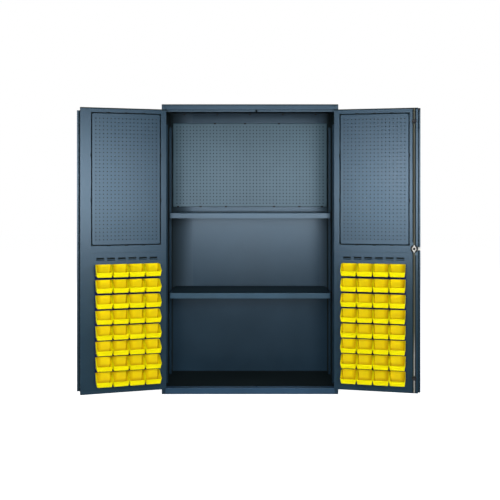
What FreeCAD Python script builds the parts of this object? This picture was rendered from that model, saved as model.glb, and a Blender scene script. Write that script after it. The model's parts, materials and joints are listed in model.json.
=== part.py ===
import FreeCAD, Part
import math
import os

from FreeCAD import Vector

# Steel bin cabinet with perforated tool panels, louvre panels with hook-on bins and a three-point latch.
# The origin is the centre of the base on the floor, X to the right, Y to the back, Z up, in millimetres.
# A door is drawn closed around its hinge pin, as the left one, and then swung open or mirrored.

# Carcass
width = 1219.0
depth = 610.0
height = 2000.0
sheet = 1.9
bend = 1.6
post_face = 25.0
post_return = 40.0
rear_flange = 22.0
header_face = 38.0
header_ledge = 35.0
header_lip = 10.5
header_weld_flange = 20.0
sill_face = 43.0
sill_ledge = 50.0
floor_rise = 22.0
stiffener_width = 100.0
stiffener_inset = 60.0

# Shelves and their supports
shelf_side_margin = 39.5
shelf_back_gap = 17.2
shelf_depth = 417.0
shelf_lip = 38.0
shelf_hem = 14.0
shelf_rear_lip = 20.0
upper_shelf_top = 1246.0
lower_shelf_top = 675.0
standard_width = 30.0
standard_depth = 16.0
standard_inset = 70.0
standard_top = 1880.0
standard_slot_width = 6.0
standard_slot_height = 16.0
standard_slot_pitch = 203.2
standard_slot_start = 60.0
clip_width = 18.0
clip_reach = 48.0
clip_leg = 34.0
clip_sheet = 2.5

# Pegboards
peg_sheet = 1.5
peg_relief = 5.0
back_peg_side_margin = 20.5
back_peg_standoff = 22.0
back_peg_top_margin = 80.0
back_peg_shelf_gap = 34.0
peg_notch_length = 24.0
peg_notch_depth = 3.0
peg_notch_shares = (0.25, 0.5, 0.75)
peg_gap = 6.5

# Doors
door_depth = 32.0
door_clearance = 2.0
meeting_gap = 7.5
left_open_angle = 163.5
right_open_angle = 167.5
window_hinge_margin = 38.0
window_free_margin = 71.0
window_top_margin = 31.0
mid_rail = 49.0
side_notch_shares = (0.34, 0.68)
lip_overhang = 16.0
astragal_sheet = 1.5
astragal_reach = 19.0
astragal_leg = 25.0
astragal_short = 20.0
astragal_clearance = 0.6

# Continuous hinges
knuckle_radius = 4.0
knuckle_count = 3
knuckle_gap = 0.5
hinge_leaf = 1.5
hinge_leaf_gap = 0.5
hinge_leaf_width = 25.0
hinge_end_inset = 12.0
hinge_pin_radius = 2.0
pin_clearance = 0.05
turn_clearance = 0.3

# Louvre panels
louver_sheet = 1.5
louver_panel_hinge_margin = 28.0
louver_panel_free_margin = 68.0
louver_panel_foot = 14.0
louver_panel_head = 58.5
louver_count = 6
louver_length_share = 0.72
louver_standoff = 7.0
louver_rise = 4.0
louver_tip = 11.0
louver_slot = 20.0
louver_root = 2.0
lowest_louver = 110.75
free_louver_lift = 5.5
field_hinge_margin = 54.0
field_free_margin = 96.0
lower_window_margin = 12.0

# Hook-on bins
bins_per_row = 4
bin_rows = 8
bin_row_pitch = 102.8
bin_gap = 2.3
bin_depth = 120.0
bin_height = 77.0
bin_front_lip = 33.0
bin_wall = 2.2
bin_floor = 2.5
bin_side_draft = 4.5
bin_front_draft = 14.0
bin_rim_share = 0.42
bin_seat_gap = 0.3
hook_drop = 21.5
hook_web = 2.2
hook_lip = 2.0
hook_lip_drop = 5.0
hook_lip_gap = 1.5
hook_side_inset = 4.0

# Latch on the right door
latch_inset = 41.0
latch_rise = 29.0
spindle_side = 7.0
octagon_share = 0.586
cam_gap = 1.0
cam_length = 52.0
cam_width = 34.0
cam_chamfer = 9.0
cam_thickness = 3.0
cam_pin_radius = 3.0
cam_pin_circle = 16.0
cam_pin_length = 4.5
cam_boss_length = 5.0
diamond_width = 32.0
diamond_height = 54.0
diamond_thickness = 3.0
rod_radius = 4.75
rod_plate = 3.0
rod_plate_gap = 0.4
rod_plate_margin = 5.0
rod_plate_head = 14.0
rod_start = 28.0
rod_end_gap = 2.0
rod_hole_clearance = 2.5
cam_slot_clearance = 0.7
boss_clearance = 0.6
guide_width = 30.0
guide_chamfer = 8.0
guide_depth = 16.0
upper_guide_inset = 92.0
lower_guide_inset = 104.0
bolt_height = 22.0
bolt_thickness = 6.0
bolt_layer = 10.0
bolt_clearance = 0.4
bolt_tail = 8.0
bolt_neck = 8.0
bolt_bar = 24.0
bolt_bar_end = 6.0
bolt_spindle_gap = 0.7
crank_thickness = 3.0
crank_gap = 0.5
crank_circle = 20.0
crank_pin_radius = 3.0
crank_width = 14.0
crank_hub = 9.0
crank_chamfer = 4.0
crank_slot_clearance = 0.9
rose_width = 44.0
rose_chamfer = 9.0
rose_thickness = 3.0
hub_radius = 15.0
hub_length = 21.0
lever_length = 105.0
lever_root_width = 18.0
lever_tip_width = 13.0
lever_thickness = 9.0
plug_radius = 6.0
plug_depth = 14.0
plug_proud = 1.0
key_slot_width = 1.6
key_slot_length = 8.0
key_slot_depth = 3.0

# Cutting
overrun = 5.0
same = 0.001

# Places worked out from the sizes above
front = -depth / 2
back = depth / 2
half_sheet = sheet / 2
outer_bend = bend + sheet
jamb_x = width / 2 - post_face
roof_under = height - sheet
header_bottom = height - header_face
shelf_back = back - 2 * sheet - shelf_back_gap
shelf_front = shelf_back - shelf_depth
leaf_to_jamb = hinge_leaf_gap / 2 + hinge_leaf
pin_x = jamb_x - leaf_to_jamb
pin_offset = knuckle_radius + turn_clearance
pin_y = front - pin_offset
door_low = sill_face + door_clearance
door_high = header_bottom - door_clearance
door_start = leaf_to_jamb
door_end = pin_x - meeting_gap / 2
box_end = door_end - lip_overhang
louver_face = door_depth + louver_sheet
louver_half_pitch = bin_row_pitch / 2
lowest_root = door_low + lowest_louver
top_root = lowest_root + (2 * bin_rows - 1) * louver_half_pitch
louver_panel_top = top_root + louver_panel_head
window_low = louver_panel_top + mid_rail
window_high = door_high - window_top_margin
window_start = window_hinge_margin
window_end = door_end - window_free_margin
field_start = field_hinge_margin
field_end = door_end - field_free_margin
bin_pitch = (field_end - field_start) / bins_per_row
bin_width = bin_pitch - bin_gap
latch_w = door_end - latch_inset
latch_z = louver_panel_top + latch_rise
cam_low = door_depth + cam_gap
cam_high = cam_low + cam_thickness
plate_low = cam_high + rod_plate_gap
rod_n = plate_low + rod_plate / 2
pin_reach = cam_pin_circle * math.sqrt(0.5)
crank_reach = crank_circle * math.sqrt(0.5)
spindle_turn = spindle_side * math.sqrt(0.5)


def block(low, high):
    """A block between two opposite corners."""
    size = [high[i] - low[i] for i in range(3)]
    return Part.makeBox(size[0], size[1], size[2], Vector(*low))


def prism(points, along):
    """A straight prism on a closed outline of corner points."""
    wire = Part.makePolygon(points + points[:1])
    return Part.Face(wire).extrude(along)


def bent_outline(path, thickness, radius):
    """The two sides, in a plane, of a sheet along its middle line; a bend marked sharp, or of no radius, is square."""
    half = thickness / 2
    middle = radius + half
    points = [Vector(u, v, 0) for u, v, *_ in path]
    sharp = [radius == 0 or len(corner) > 2 for corner in path]
    heads = [(points[i + 1] - points[i]).normalize() for i in range(len(points) - 1)]
    sides = {1: [], -1: []}
    for side, chain in sides.items():
        normals = [Vector(-h.y, h.x, 0) for h in heads]
        chain.append(points[0] + normals[0] * (side * half))
        for i in range(1, len(points) - 1):
            if sharp[i]:
                both = normals[i - 1] + normals[i]
                chain.append(points[i] + both * (side * half / (1 + normals[i - 1].dot(normals[i]))))
                continue
            turn = math.atan2(heads[i - 1].cross(heads[i]).z, heads[i - 1].dot(heads[i]))
            run = middle * math.tan(abs(turn) / 2)
            way = math.copysign(1, turn)
            start = points[i] - heads[i - 1] * run
            end = points[i] + heads[i] * run
            centre = start + normals[i - 1] * (way * middle)
            bulge = (points[i] - centre).normalize() * (middle - side * way * half)
            chain.append((start + normals[i - 1] * (side * half), centre + bulge, end + normals[i] * (side * half)))
        chain.append(points[-1] + normals[-1] * (side * half))
    return sides[1], sides[-1]


def bent_sheet(path, thickness, radius, place, along):
    """A bent sheet of even thickness; place sets a plane point in space, along is its length."""
    left, right = bent_outline(path, thickness, radius)
    turned = [item if isinstance(item, Vector) else item[::-1] for item in reversed(right)]
    edges = []
    last = None
    for item in left + turned + left[:1]:
        first = item if isinstance(item, Vector) else item[0]
        if last is not None:
            edges.append(Part.LineSegment(place(last), place(first)).toShape())
        if isinstance(item, Vector):
            last = item
        else:
            edges.append(Part.Arc(*[place(p) for p in item]).toShape())
            last = item[2]
    return Part.Face(Part.Wire(edges)).extrude(along)


def bent_up(path, thickness, low, high, radius=bend):
    """A bent sheet with its outline in plan, standing from low to high."""
    return bent_sheet(path, thickness, radius, lambda p: Vector(p.x, p.y, low), Vector(0, 0, high - low))


def bent_across(path, thickness, start, end, radius=bend):
    """A bent sheet with its outline in side view, running from start to end across the width."""
    return bent_sheet(path, thickness, radius, lambda p: Vector(start, p.x, p.y), Vector(end - start, 0, 0))


def pan(low, high, thickness):
    """A flat pan, open to the back, with returns on its four edges and open corners."""
    inside_low = (low[0] + thickness, low[1] + thickness, low[2] + thickness)
    inside_high = (high[0] - thickness, high[1] + overrun, high[2] - thickness)
    shell = block(low, high).cut(block(inside_low, inside_high))
    reliefs = []
    for x in (low[0] - overrun, high[0] - peg_relief):
        for z in (low[2] - overrun, high[2] - peg_relief):
            corner = (x, low[1] + thickness, z)
            size = overrun + peg_relief
            reliefs.append(block(corner, (x + size, high[1] + overrun, z + size)))
    return shell.cut(reliefs)


def mirrored(shape):
    """The same piece on the other side of the cabinet."""
    return shape.mirror(Vector(0, 0, 0), Vector(1, 0, 0))


def hang(shape, side, angle):
    """A piece drawn around the left hinge pin, swung open by an angle and set at its side."""
    placed = shape.copy()
    placed.rotate(Vector(0, 0, 0), Vector(0, 0, 1), -angle)
    placed.translate(Vector(-pin_x, pin_y, 0))
    return placed if side == "left" else mirrored(placed)


def on_door(low, high):
    """A block on a door: along from the pin, in from the outer face, and up."""
    return block((low[0], low[1] + pin_offset, low[2]), (high[0], high[1] + pin_offset, high[2]))


def plate(half_along, half_up, chamfer, along, low, high, up):
    """A flat piece square to the door with its corners cut off, between two depths from the outer face."""
    side, top = half_along - chamfer, half_up - chamfer
    turns = [(half_along, top), (side, half_up), (-side, half_up), (-half_along, top)]
    turns += [(-u, -v) for u, v in turns]
    points = [Vector(along + u, low + pin_offset, up + v) for u, v in turns]
    return prism(points, Vector(0, high - low, 0))


def disc(radius, along, low, high, up):
    """A round piece square to the door, between two depths from its outer face."""
    base = Vector(along, low + pin_offset, up)
    return Part.makeCylinder(radius, high - low, base, Vector(0, 1, 0))


def save(node, solids):
    """Writes one named piece, or a group of like pieces."""
    shape = solids[0] if len(solids) == 1 else Part.makeCompound(solids)
    shape.exportStep("parts/" + node + ".step")


def side_panel():
    """Left side: one sheet with the front post, its return into the opening, and a rear flange."""
    outside = -width / 2 + half_sheet
    path = [
        (-jamb_x - half_sheet, front + post_return),
        (-jamb_x - half_sheet, front + half_sheet),
        (outside, front + half_sheet),
        (outside, back - half_sheet, "sharp"),
        (-width / 2 + rear_flange, back - half_sheet),
    ]
    return bent_up(path, sheet, 0, roof_under)


def back_panel():
    """Flat back sheet, lapped inside the rear flanges of the sides."""
    side = width / 2 - outer_bend
    return block((-side, back - 2 * sheet, 0), (side, back - sheet, roof_under))


def roof_panel():
    """Flat top sheet with its corners rounded like the bent posts below it."""
    plate = block((-width / 2, front, roof_under), (width / 2, back, height))
    uprights = [e for e in plate.Edges if abs(e.Vertexes[0].Z - e.Vertexes[1].Z) > half_sheet]
    return plate.makeFillet(outer_bend, uprights)


def floor_panel():
    """Floor sheet raised off the ground on its front and rear flanges, behind the posts."""
    fore = front + post_return + half_sheet
    aft = back - 2 * sheet - half_sheet
    level = floor_rise - half_sheet
    side = width / 2 - sheet
    return bent_across([(fore, 0), (fore, level), (aft, level), (aft, 0)], sheet, -side, side, 0)


def floor_stiffener():
    """Channel under the middle of the floor, which stands on the ground."""
    half = stiffener_width / 2 - half_sheet
    top = floor_rise - sheet
    path = [(-half, top), (-half, half_sheet), (half, half_sheet), (half, top)]
    low = front + post_return + stiffener_inset
    length = Vector(0, back - stiffener_inset - low, 0)
    return bent_sheet(path, sheet, 0, lambda p: Vector(p.x, low, p.y), length)


def header_rail():
    """Front rail under the roof, with a ledge and a stop lip notched for the upper lock rod."""
    top = roof_under - half_sheet
    ledge = header_bottom + half_sheet
    inner = front + header_ledge - half_sheet
    path = [
        (front + header_weld_flange, top),
        (front + half_sheet, top, "sharp"),
        (front + half_sheet, ledge),
        (inner, ledge, "sharp"),
        (inner, header_bottom - header_lip),
    ]
    rail = bent_across(path, sheet, -jamb_x, jamb_x)
    rod_x = pin_x - latch_w
    half = rod_radius + rod_hole_clearance
    low = (rod_x - half, front + rod_n - half, header_bottom - header_lip - overrun)
    high = (rod_x + half, front + header_ledge + overrun, header_bottom + sheet + overrun)
    return rail.cut(block(low, high))


def sill_rail():
    """Front rail on the floor, with a ledge that the lower lock rod enters."""
    ledge = sill_face - half_sheet
    inner = front + sill_ledge - half_sheet
    path = [(front + half_sheet, 0), (front + half_sheet, ledge), (inner, ledge, "sharp"), (inner, floor_rise)]
    rail = bent_across(path, sheet, -jamb_x, jamb_x)
    rod_x = pin_x - latch_w
    half = rod_radius + rod_hole_clearance
    low = (rod_x - half, front + rod_n - half, sill_face - sheet - overrun)
    high = (rod_x + half, front + rod_n + half, sill_face + overrun)
    return rail.cut(block(low, high))


def shelf(top):
    """Shelf pan with a hemmed front lip and a shorter rear lip."""
    low = top - shelf_lip + half_sheet
    level = top - half_sheet
    path = [
        (shelf_front + shelf_hem, low),
        (shelf_front + half_sheet, low, "sharp"),
        (shelf_front + half_sheet, level),
        (shelf_back - half_sheet, level, "sharp"),
        (shelf_back - half_sheet, top - shelf_rear_lip),
    ]
    side = width / 2 - shelf_side_margin
    return bent_across(path, sheet, -side, side)


def standard_places():
    """Where the front and rear shelf standards stand, from front to back."""
    return (shelf_front + standard_inset, shelf_back - standard_inset)


def shelf_standard(y):
    """Slotted channel on the left side wall."""
    wall = -width / 2 + sheet
    face = wall + standard_depth - half_sheet
    half = standard_width / 2 - half_sheet
    path = [(wall, y + half), (face, y + half), (face, y - half), (wall, y - half)]
    channel = bent_up(path, sheet, floor_rise, standard_top, 0)
    slots = []
    z = floor_rise + standard_slot_start
    while z + standard_slot_height < standard_top:
        low = (face - overrun, y - standard_slot_width / 2, z)
        high = (face + overrun, y + standard_slot_width / 2, z + standard_slot_height)
        slots.append(block(low, high))
        z += standard_slot_pitch
    return channel.cut(slots)


def shelf_clip(y, top):
    """Bracket on a left standard, with its arm under the shelf."""
    face = -width / 2 + sheet + standard_depth
    half = clip_sheet / 2
    under = top - sheet
    path = [(face + half, under - clip_leg), (face + half, under - half), (face + clip_reach, under - half)]
    fore = y - clip_width / 2
    return bent_sheet(path, clip_sheet, 0, lambda p: Vector(p.x, fore, p.y), Vector(0, clip_width, 0))


def edge_notches(start, end, low, high, shares, place):
    """Notches along two facing edges, at shares of their length."""
    made = []
    for share in shares:
        middle = start + (end - start) * share
        for level in (low, high):
            made.append(place(middle - peg_notch_length / 2, middle + peg_notch_length / 2, level))
    return made


def back_pegboard():
    """Tool panel on the upper back wall: a pan whose returns stand on the back sheet."""
    face = back - 2 * sheet - back_peg_standoff
    side = width / 2 - back_peg_side_margin
    low = upper_shelf_top + back_peg_shelf_gap
    high = height - back_peg_top_margin
    body = pan((-side, face, low), (side, back - 2 * sheet, high), peg_sheet)

    def notch(start, end, level):
        return block(
            (start, face - overrun, level - peg_notch_depth),
            (end, face + overrun, level + peg_notch_depth),
        )

    return body.cut(edge_notches(-side, side, low, high, peg_notch_shares, notch))


def door_skin(end):
    """Outer pan of a door: the face with returns on four edges, its front edges rounded."""
    solid = on_door((door_start, 0, door_low), (end, door_depth - sheet, door_high))
    front_edges = [e for e in solid.Edges if all(abs(v.Y - pin_offset) < same for v in e.Vertexes)]
    solid = solid.makeFillet(outer_bend, front_edges)
    low = (door_start + sheet, sheet, door_low + sheet)
    high = (end - sheet, door_depth + overrun, door_high - sheet)
    return solid.cut(on_door(low, high))


def bolt_slot(start, end):
    """The slot that the centre bolt passes through, between two places along a door."""
    half = bolt_height / 2 + bolt_clearance
    low = (start, bolt_layer - bolt_clearance, latch_z - half)
    high = (end, bolt_layer + bolt_thickness + bolt_clearance, latch_z + half)
    return on_door(low, high)


def spindle_hole(low, high):
    """Eight-sided clearance hole that the square spindle turns in, between two depths."""
    half = spindle_turn + turn_clearance
    return plate(half, half, half * octagon_share, latch_w, low, high, latch_z)


def square_bar(side, low, high):
    """Square bar on the latch axis, between two depths."""
    half = side / 2
    return on_door((latch_w - half, low, latch_z - half), (latch_w + half, high, latch_z + half))


def left_skin():
    """Left pan, with the strike slot of the centre bolt in its free edge."""
    return door_skin(door_end).cut(bolt_slot(door_end - sheet - overrun, door_end + overrun))


def right_skin():
    """Right pan, with a thin lip past its free edge that covers the meeting strip."""
    body = door_skin(box_end).cut(bolt_slot(box_end - sheet - overrun, box_end + overrun))
    lip_start = box_end - sheet
    lip = on_door((lip_start, 0, door_low), (door_end, sheet, door_high))
    body = body.fuse(lip).removeSplitter()
    return body.cut(spindle_hole(-overrun, door_depth))


def door_liner(end):
    """Inner sheet of a door, with a notched window for the pegboard and one behind the louvres."""
    plate = on_door((door_start, door_depth - sheet, door_low), (end, door_depth, door_high))
    fore = door_depth - sheet - overrun
    aft = door_depth + overrun
    window = on_door((window_start, fore, window_low), (window_end, aft, window_high))
    lower_start = louver_panel_hinge_margin + lower_window_margin
    lower_end = door_end - louver_panel_free_margin - lower_window_margin
    lower_low = door_low + louver_panel_foot + lower_window_margin
    lower_high = louver_panel_top - lower_window_margin
    lower = on_door((lower_start, fore, lower_low), (lower_end, aft, lower_high))

    def level_notch(start, stop, level):
        low = (start, fore, level - peg_notch_depth)
        return on_door(low, (stop, aft, level + peg_notch_depth))

    def upright_notch(start, stop, along):
        low = (along - peg_notch_depth, fore, start)
        return on_door(low, (along + peg_notch_depth, aft, stop))

    cuts = [window, lower]
    cuts += edge_notches(window_start, window_end, window_low, window_high, peg_notch_shares, level_notch)
    cuts += edge_notches(window_low, window_high, window_start, window_end, side_notch_shares, upright_notch)
    return plate.cut(cuts)


def right_liner():
    """Right inner sheet, with the hole that the latch spindle turns in."""
    return door_liner(box_end).cut(spindle_hole(0, door_depth + overrun))


def door_pegboard():
    """Tool panel in the door window: a pan that stands on the outer skin, with a gap all round."""
    low = (window_start + peg_gap, -door_depth - pin_offset, window_low + peg_gap)
    high = (window_end - peg_gap, -sheet - pin_offset, window_high - peg_gap)
    turned = pan(low, high, peg_sheet)
    return turned.mirror(Vector(0, 0, 0), Vector(0, 1, 0))


def louver_rows():
    """Height and number of louvres of each row: one row behind each bin row, and a free row above them."""
    rows = [(lowest_root + 2 * i * louver_half_pitch, bins_per_row) for i in range(bin_rows)]
    return rows + [(top_root + free_louver_lift, louver_count)]


def louver_panel():
    """Lower inner panel with rows of pressed tongues, open at the top: a free row and those behind the bins."""
    end = door_end - louver_panel_free_margin
    low = door_low + louver_panel_foot
    plate = on_door((louver_panel_hinge_margin, door_depth, low), (end, louver_face, louver_panel_top))
    length = (field_end - field_start) / louver_count * louver_length_share
    slots = []
    tongues = []
    face = louver_face + pin_offset
    outer = face + louver_standoff
    inner = outer - louver_sheet
    for root, count in louver_rows():
        pitch = (field_end - field_start) / count
        for i in range(count):
            start = field_start + pitch * i + (pitch - length) / 2
            slot_low = (start, door_depth - overrun, root + louver_root)
            slots.append(on_door(slot_low, (start + length, louver_face + overrun, root + louver_slot)))
            outline = [
                Vector(start, face, root),
                Vector(start, outer, root + louver_rise),
                Vector(start, outer, root + louver_tip),
                Vector(start, inner, root + louver_tip),
                Vector(start, inner, root + louver_rise + louver_root / 2),
                Vector(start, face, root + louver_root),
            ]
            tongues.append(prism(outline, Vector(length, 0, 0)))
    return plate.cut(slots).fuse(tongues).removeSplitter()


def tapered(bottom, top, low, high):
    """A straight-sided tapered form between two level rectangles (start, end, fore, aft)."""
    rings = []
    for (start, end, fore, aft), z in ((bottom, low), (top, high)):
        rings.append([Vector(start, fore, z), Vector(end, fore, z), Vector(end, aft, z), Vector(start, aft, z)])
    under, over = rings
    outlines = [under, over]
    for i in range(4):
        j = (i + 1) % 4
        outlines.append([under[i], under[j], over[j], over[i]])
    faces = [Part.Face(Part.makePolygon(corners + corners[:1])) for corners in outlines]
    return Part.makeSolid(Part.makeShell(faces))


def hook_on_bin():
    """One moulded bin: tapered walls, a scooped low front and a hanging lip behind, back wall at Y zero."""
    half = bin_width / 2
    grow = bin_front_draft * bin_height / bin_front_lip
    foot = half - bin_side_draft
    nose = bin_depth - bin_front_draft
    outer = tapered((-foot, foot, 0, nose), (-half, half, 0, nose + grow), 0, bin_height)
    rise = bin_floor / bin_height
    in_foot = foot + bin_side_draft * rise - bin_wall
    in_nose = nose + grow * rise - bin_wall
    inner = tapered(
        (-in_foot, in_foot, bin_wall, in_nose),
        (-half + bin_wall, half - bin_wall, bin_wall, nose + grow - bin_wall),
        bin_floor,
        bin_height,
    )
    scoop = [
        Vector(-bin_width, bin_depth * bin_rim_share, bin_height),
        Vector(-bin_width, bin_depth, bin_front_lip),
        Vector(-bin_width, bin_depth + bin_height, bin_front_lip),
        Vector(-bin_width, bin_depth + bin_height, bin_height + overrun),
        Vector(-bin_width, bin_depth * bin_rim_share, bin_height + overrun),
    ]
    body = outer.cut(inner).cut(prism(scoop, Vector(2 * bin_width, 0, 0)))
    web_high = bin_height - hook_drop
    web_low = web_high - hook_web
    reach = louver_standoff + bin_seat_gap - hook_lip_gap
    side = half - bin_side_draft - hook_side_inset
    outline = [
        Vector(-side, 0, web_low),
        Vector(-side, 0, web_high),
        Vector(-side, -reach, web_high),
        Vector(-side, -reach, web_low - hook_lip_drop),
        Vector(-side, -reach + hook_lip, web_low - hook_lip_drop),
        Vector(-side, -reach + hook_lip, web_low),
    ]
    return body.fuse(prism(outline, Vector(2 * side, 0, 0))).removeSplitter()


def bin_row(bin_shape, row):
    """Four bins hooked on one louvre row; row counts from the top."""
    root, count = louver_rows()[bin_rows - 1 - row]
    low = root + louver_tip + hook_web + hook_drop - bin_height
    seat = louver_face + louver_standoff + bin_seat_gap + pin_offset
    placed = []
    for i in range(count):
        copy = bin_shape.copy()
        copy.translate(Vector(field_start + bin_pitch * i + bin_pitch / 2, seat, low))
        placed.append(copy)
    return placed


def astragal():
    """Angle on the left free edge, whose leg closes the gap behind the right door's lip."""
    half = astragal_sheet / 2
    edge = door_end + half
    fore = sheet + astragal_clearance + half + pin_offset
    aft = sheet + astragal_clearance + astragal_leg + pin_offset
    path = [(edge, aft), (edge, fore), (door_end + astragal_reach, fore)]
    angle = bent_up(path, astragal_sheet, door_low + astragal_short, door_high - astragal_short)
    return angle.cut(bolt_slot(door_end - overrun, door_end + astragal_sheet + overrun))


def hinge_spans():
    """Start and end of each knuckle, from the bottom up."""
    low = door_low + hinge_end_inset
    length = (door_high - door_low - 2 * hinge_end_inset) / knuckle_count
    return [(low + length * i, low + length * (i + 1) - knuckle_gap) for i in range(knuckle_count)]


def hinge_leaf_piece(side, first):
    """One leaf of the continuous hinge with every second knuckle; side is its way from the pin."""
    near = side * hinge_leaf_gap / 2
    far = near + side * hinge_leaf
    spans = hinge_spans()
    start, end = min(near, far), max(near, far)
    clear = knuckle_radius + 2 * turn_clearance
    leaf = block((start, clear, spans[0][0]), (end, clear + hinge_leaf_width, spans[-1][1]))
    turns = []
    for low, high in spans[first::2]:
        turns.append(Part.makeCylinder(knuckle_radius, high - low, Vector(0, 0, low)))
        turns.append(block((start, 0, low), (end, clear, high)))
    return leaf.fuse(turns).removeSplitter()


def hinge_pin(radius):
    """Length of the hinge pin, from the lowest knuckle to the highest."""
    spans = hinge_spans()
    low, high = spans[0][0], spans[-1][1]
    return Part.makeCylinder(radius, high - low, Vector(0, 0, low))


def jamb_leaf():
    """Leaf on the jamb, with the pin staked in its knuckles."""
    return hinge_leaf_piece(-1, 0).fuse(hinge_pin(hinge_pin_radius)).removeSplitter()


def door_leaf():
    """Leaf on the door, which turns on the pin."""
    return hinge_leaf_piece(1, 1).cut(hinge_pin(hinge_pin_radius + pin_clearance))


def latch_point(circle, degrees):
    """A place on a circle round the latch spindle: along the door and up."""
    turn = math.radians(degrees)
    return latch_w + circle * math.cos(turn), latch_z + circle * math.sin(turn)


def latch_lever():
    """Outside handle that hangs down, its hub bored for the lock plug, and the spindle through the door."""
    hub_base = -rose_thickness - turn_clearance
    hub_top = hub_base - hub_length
    hub = disc(hub_radius, latch_w, hub_top, hub_base, latch_z)
    spindle = square_bar(spindle_side, hub_base, cam_low)
    root = lever_root_width / 2
    tip = lever_tip_width / 2
    fore = hub_top + pin_offset
    end = latch_z - lever_length + tip
    side = Vector(latch_w + root, fore, latch_z)
    corner = Vector(latch_w + tip, fore, end)
    bottom = Vector(latch_w, fore, end - tip)
    other_corner = Vector(latch_w - tip, fore, end)
    other_side = Vector(latch_w - root, fore, latch_z)
    edges = [
        Part.LineSegment(side, corner).toShape(),
        Part.Arc(corner, bottom, other_corner).toShape(),
        Part.LineSegment(other_corner, other_side).toShape(),
        Part.LineSegment(other_side, side).toShape(),
    ]
    arm = Part.Face(Part.Wire(edges)).extrude(Vector(0, lever_thickness, 0))
    bore = disc(plug_radius + pin_clearance, latch_w, hub_top - overrun, hub_top + plug_depth, latch_z)
    return hub.fuse([spindle, arm]).removeSplitter().cut(bore)


def lock_plug():
    """Key cylinder in the handle hub, with its key slot."""
    top = -rose_thickness - turn_clearance - hub_length
    plug = disc(plug_radius, latch_w, top - plug_proud, top + plug_depth, latch_z)
    half_w = key_slot_width / 2
    half_l = key_slot_length / 2
    low = (latch_w - half_w, top - plug_proud - overrun, latch_z - half_l)
    high = (latch_w + half_w, top - plug_proud + key_slot_depth, latch_z + half_l)
    return plug.cut(on_door(low, high))


def handle_rose():
    """Eight-sided plate on the outer skin under the handle."""
    ring = plate(rose_width / 2, rose_width / 2, rose_chamfer, latch_w, -rose_thickness, 0, latch_z)
    return ring.cut(spindle_hole(-rose_thickness - overrun, overrun))


def bolt_crank():
    """Arm on the spindle inside the door, whose pin drives the centre bolt."""
    low = bolt_layer + bolt_thickness + crank_gap
    high = low + crank_thickness
    along, up = latch_point(crank_circle, 135)
    half = crank_width / 2
    middle = latch_w + (crank_circle + half - crank_hub) / 2
    arm = plate((crank_circle + half + crank_hub) / 2, crank_hub, crank_chamfer, middle, low, high, latch_z)
    arm.rotate(Vector(latch_w, 0, latch_z), Vector(0, 1, 0), -135)
    pin = disc(crank_pin_radius, along, bolt_layer + crank_gap, low, up)
    body = arm.fuse(pin).removeSplitter()
    return body.cut(square_bar(spindle_side + 2 * pin_clearance, low - overrun, high + overrun))


def center_bolt():
    """Flat bolt inside the door: a tongue at the free edge, and a tail above the spindle with a cross slot."""
    fore, aft = bolt_layer, bolt_layer + bolt_thickness
    half = bolt_height / 2
    bar_low = latch_z + spindle_turn + bolt_spindle_gap
    bar_high = bar_low + bolt_bar
    pin_w = latch_w - crank_reach
    slot_half = crank_pin_radius + crank_slot_clearance
    tail_start = pin_w - slot_half - bolt_tail
    bar_end = latch_w - bolt_bar_end
    tongue_start = latch_w + bolt_neck
    tongue = on_door((tongue_start, fore, latch_z - half), (door_end, aft, latch_z + half))
    neck = on_door((tail_start, fore, bar_low), (tongue_start, aft, latch_z + half))
    bar = on_door((tail_start, fore, bar_low), (bar_end, aft, bar_high))
    low = (pin_w - slot_half, fore - overrun, latch_z + crank_reach - slot_half)
    high = (pin_w + slot_half, aft + overrun, latch_z + crank_circle + slot_half)
    return tongue.fuse([neck, bar]).removeSplitter().cut(on_door(low, high))


def latch_cam():
    """Plate on the inner face with a middle boss and two pins that carry the lock rods."""
    body = plate(cam_length / 2, cam_width / 2, cam_chamfer, latch_w, cam_low, cam_high, latch_z)
    body.rotate(Vector(latch_w, 0, latch_z), Vector(0, 1, 0), -45)
    boss = square_bar(spindle_side, cam_high, cam_high + cam_boss_length)
    pins = []
    for degrees in (225, 45):
        along, up = latch_point(cam_pin_circle, degrees)
        pins.append(disc(cam_pin_radius, along, cam_high, cam_high + cam_pin_length, up))
    return body.fuse([boss] + pins).removeSplitter()


def cam_cover():
    """Diamond plate on the boss of the cam."""
    fore = cam_high + cam_boss_length + pin_offset
    half_w = diamond_width / 2
    half_h = diamond_height / 2
    corners = [
        Vector(latch_w - half_w, fore, latch_z),
        Vector(latch_w, fore, latch_z - half_h),
        Vector(latch_w + half_w, fore, latch_z),
        Vector(latch_w, fore, latch_z + half_h),
    ]
    return prism(corners, Vector(0, diamond_thickness, 0))


def lock_rod(way, end):
    """Lock rod that runs up (way 1) or down (way -1) from a slotted plate on its cam pin to an end."""
    side = -way
    start = latch_z + way * rod_start
    length = abs(end - start)
    base = Vector(latch_w, rod_n + pin_offset, start)
    shaft = Part.makeCylinder(rod_radius, length, base, Vector(0, 0, way))
    slot_half = cam_pin_radius + cam_slot_clearance
    near = latch_w + side * (spindle_turn + boss_clearance)
    far = latch_w + side * (cam_pin_circle + slot_half + rod_plate_margin)
    foot = latch_z - way * (pin_reach + slot_half + rod_plate_margin)
    neck = start - way * boss_clearance
    head = start + way * rod_plate_head
    past = latch_w - side * rod_radius
    fore, aft = plate_low, plate_low + rod_plate

    def tab(a, b, low, high):
        return on_door((min(a, b), fore, min(low, high)), (max(a, b), aft, max(low, high)))

    slot_start = latch_w + side * (pin_reach - slot_half)
    slot_end = latch_w + side * (cam_pin_circle + slot_half)
    pin_up = latch_z - way * pin_reach
    low = (min(slot_start, slot_end), fore - overrun, pin_up - slot_half)
    high = (max(slot_start, slot_end), aft + overrun, pin_up + slot_half)
    body = shaft.fuse([tab(near, far, foot, head), tab(past, far, neck, head)]).removeSplitter()
    return body.cut(on_door(low, high))


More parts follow.
